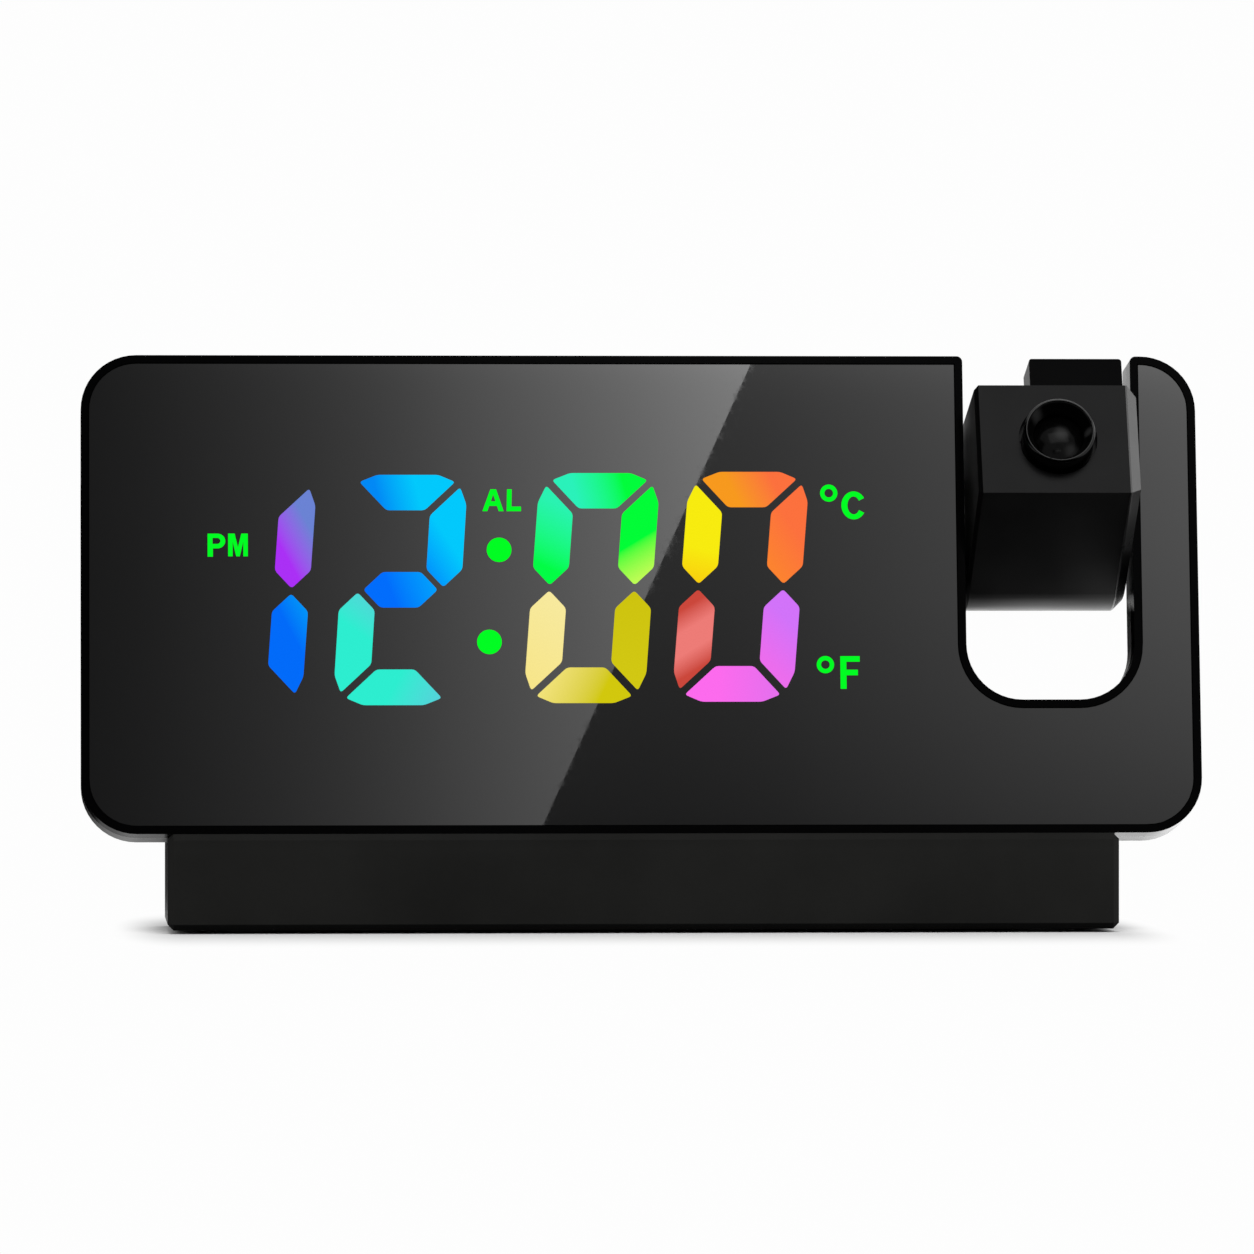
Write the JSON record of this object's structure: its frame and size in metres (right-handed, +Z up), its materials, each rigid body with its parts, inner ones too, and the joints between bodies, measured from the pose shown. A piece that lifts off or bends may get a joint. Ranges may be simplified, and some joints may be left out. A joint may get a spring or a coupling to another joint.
{
  "type": "projection alarm clock",
  "caption": "Mirror-faced digital alarm clock on a block base, with a swivelling projector arm in a slot at one end of the panel.",
  "frame": {"origin": "on the table, at the middle of the outline in X and Y", "axes": "+X to the clock's right as seen from its front, the front faces -Y, +Z up"},
  "size_m": [0.19, 0.0495, 0.0978],
  "materials": {
    "frame_gloss": "gloss",
    "smoked_mirror": "polished",
    "case_black": "satin",
    "base_black": "satin",
    "arm_black": "satin",
    "thumb_black": "satin",
    "barrel_black": "gloss",
    "key_black": "satin",
    "mask_black": "matt",
    "light_guide": "milky",
    "led_white": "gloss",
    "circuit_board": "solder mask",
    "chip_black": "moulded",
    "plated_steel": "plated",
    "tongue_white": "moulded",
    "screw_steel": "zinc",
    "foot_rubber": "matt",
    "cell_skin": "gloss",
    "hinge_nylon": "natural",
    "slide_glass": "polished",
    "lens_glass": "polished",
    "lamp_board": "plain"
  },
  "bodies": {
    "case": {"front_frame": "frame_gloss", "mirror_panel": "smoked_mirror", "rear_cover": "case_black", "case_screws": "screw_steel", "base_fixing_screws": "screw_steel", "light_mask": "mask_black", "led_board": "circuit_board", "led_chips": "led_white", "hour_tens_light": "light_guide", "hour_ones_light": "light_guide", "minute_tens_light": "light_guide", "minute_ones_light": "light_guide", "colon_light": "light_guide", "legend_light": "light_guide", "control_board": "circuit_board", "board_screws": "screw_steel", "board_chips": "chip_black", "display_connector": "chip_black", "key_switches": "chip_black", "usb_outlet": "plated_steel", "usb_tongue": "tongue_white", "power_inlet": "plated_steel", "buzzer": "chip_black", "temperature_sensor": "chip_black", "spring_washer": "plated_steel", "base_shell": "base_black", "base_bottom": "base_black", "rubber_feet": "foot_rubber", "base_screws": "screw_steel", "battery_cells": "cell_skin", "battery_contacts": "plated_steel"},
    "projector": {"arm_housing": "arm_black", "arm_cover": "arm_black", "arm_screws": "screw_steel", "hinge_trunnion": "hinge_nylon", "trunnion_screws": "screw_steel", "friction_washer": "hinge_nylon", "retaining_clip": "plated_steel", "optics_bracket": "mask_black", "crystal_slide": "slide_glass", "condenser_lens": "lens_glass", "projector_lamp": "lamp_board"},
    "focus": {"lens_barrel": "barrel_black", "projection_lens": "lens_glass", "focus_slider": "thumb_black"},
    "snooze": {"snooze_bar": "key_black"},
    "mode_button": {"mode_key": "key_black"},
    "up_button": {"up_key": "key_black"},
    "down_button": {"down_key": "key_black"},
    "alarm_button": {"alarm_key": "key_black"},
    "projector_button": {"projector_key": "key_black"},
    "door": {"battery_door": "base_black"}
  },
  "joints": [
    {"name": "projector_swivel", "type": "hinge", "parent": "case", "child": "projector", "pos_m": [0.06955, 0.00859, 0.0696], "axis": [-1, 0, 0], "range_deg": [-26, 154]},
    {"name": "focus_slide", "type": "slide", "parent": "projector", "child": "focus", "axis": [0, -0.8988, 0.4384], "range_m": [-0.0015, 0.0015]},
    {"name": "snooze_press", "type": "slide", "parent": "case", "child": "snooze", "axis": [0, -0.1564, -0.9877], "range_m": [0, 0.0005], "stiffness_N_per_m": 800, "springref_m": -0.0004},
    {"name": "mode_press", "type": "slide", "parent": "case", "child": "mode_button", "axis": [0, -0.9877, 0.1564], "range_m": [0, 0.0005], "stiffness_N_per_m": 800, "springref_m": -0.0004},
    {"name": "up_press", "type": "slide", "parent": "case", "child": "up_button", "axis": [0, -0.9877, 0.1564], "range_m": [0, 0.0005], "stiffness_N_per_m": 800, "springref_m": -0.0004},
    {"name": "down_press", "type": "slide", "parent": "case", "child": "down_button", "axis": [0, -0.9877, 0.1564], "range_m": [0, 0.0005], "stiffness_N_per_m": 800, "springref_m": -0.0004},
    {"name": "alarm_press", "type": "slide", "parent": "case", "child": "alarm_button", "axis": [0, -0.9877, 0.1564], "range_m": [0, 0.0005], "stiffness_N_per_m": 800, "springref_m": -0.0004},
    {"name": "projector_press", "type": "slide", "parent": "case", "child": "projector_button", "axis": [0, -0.9877, 0.1564], "range_m": [0, 0.0005], "stiffness_N_per_m": 800, "springref_m": -0.0004},
    {"name": "battery_door_slide", "type": "slide", "parent": "case", "child": "door", "axis": [0, 1, 0], "range_m": [0, 0.025]}
  ]
}
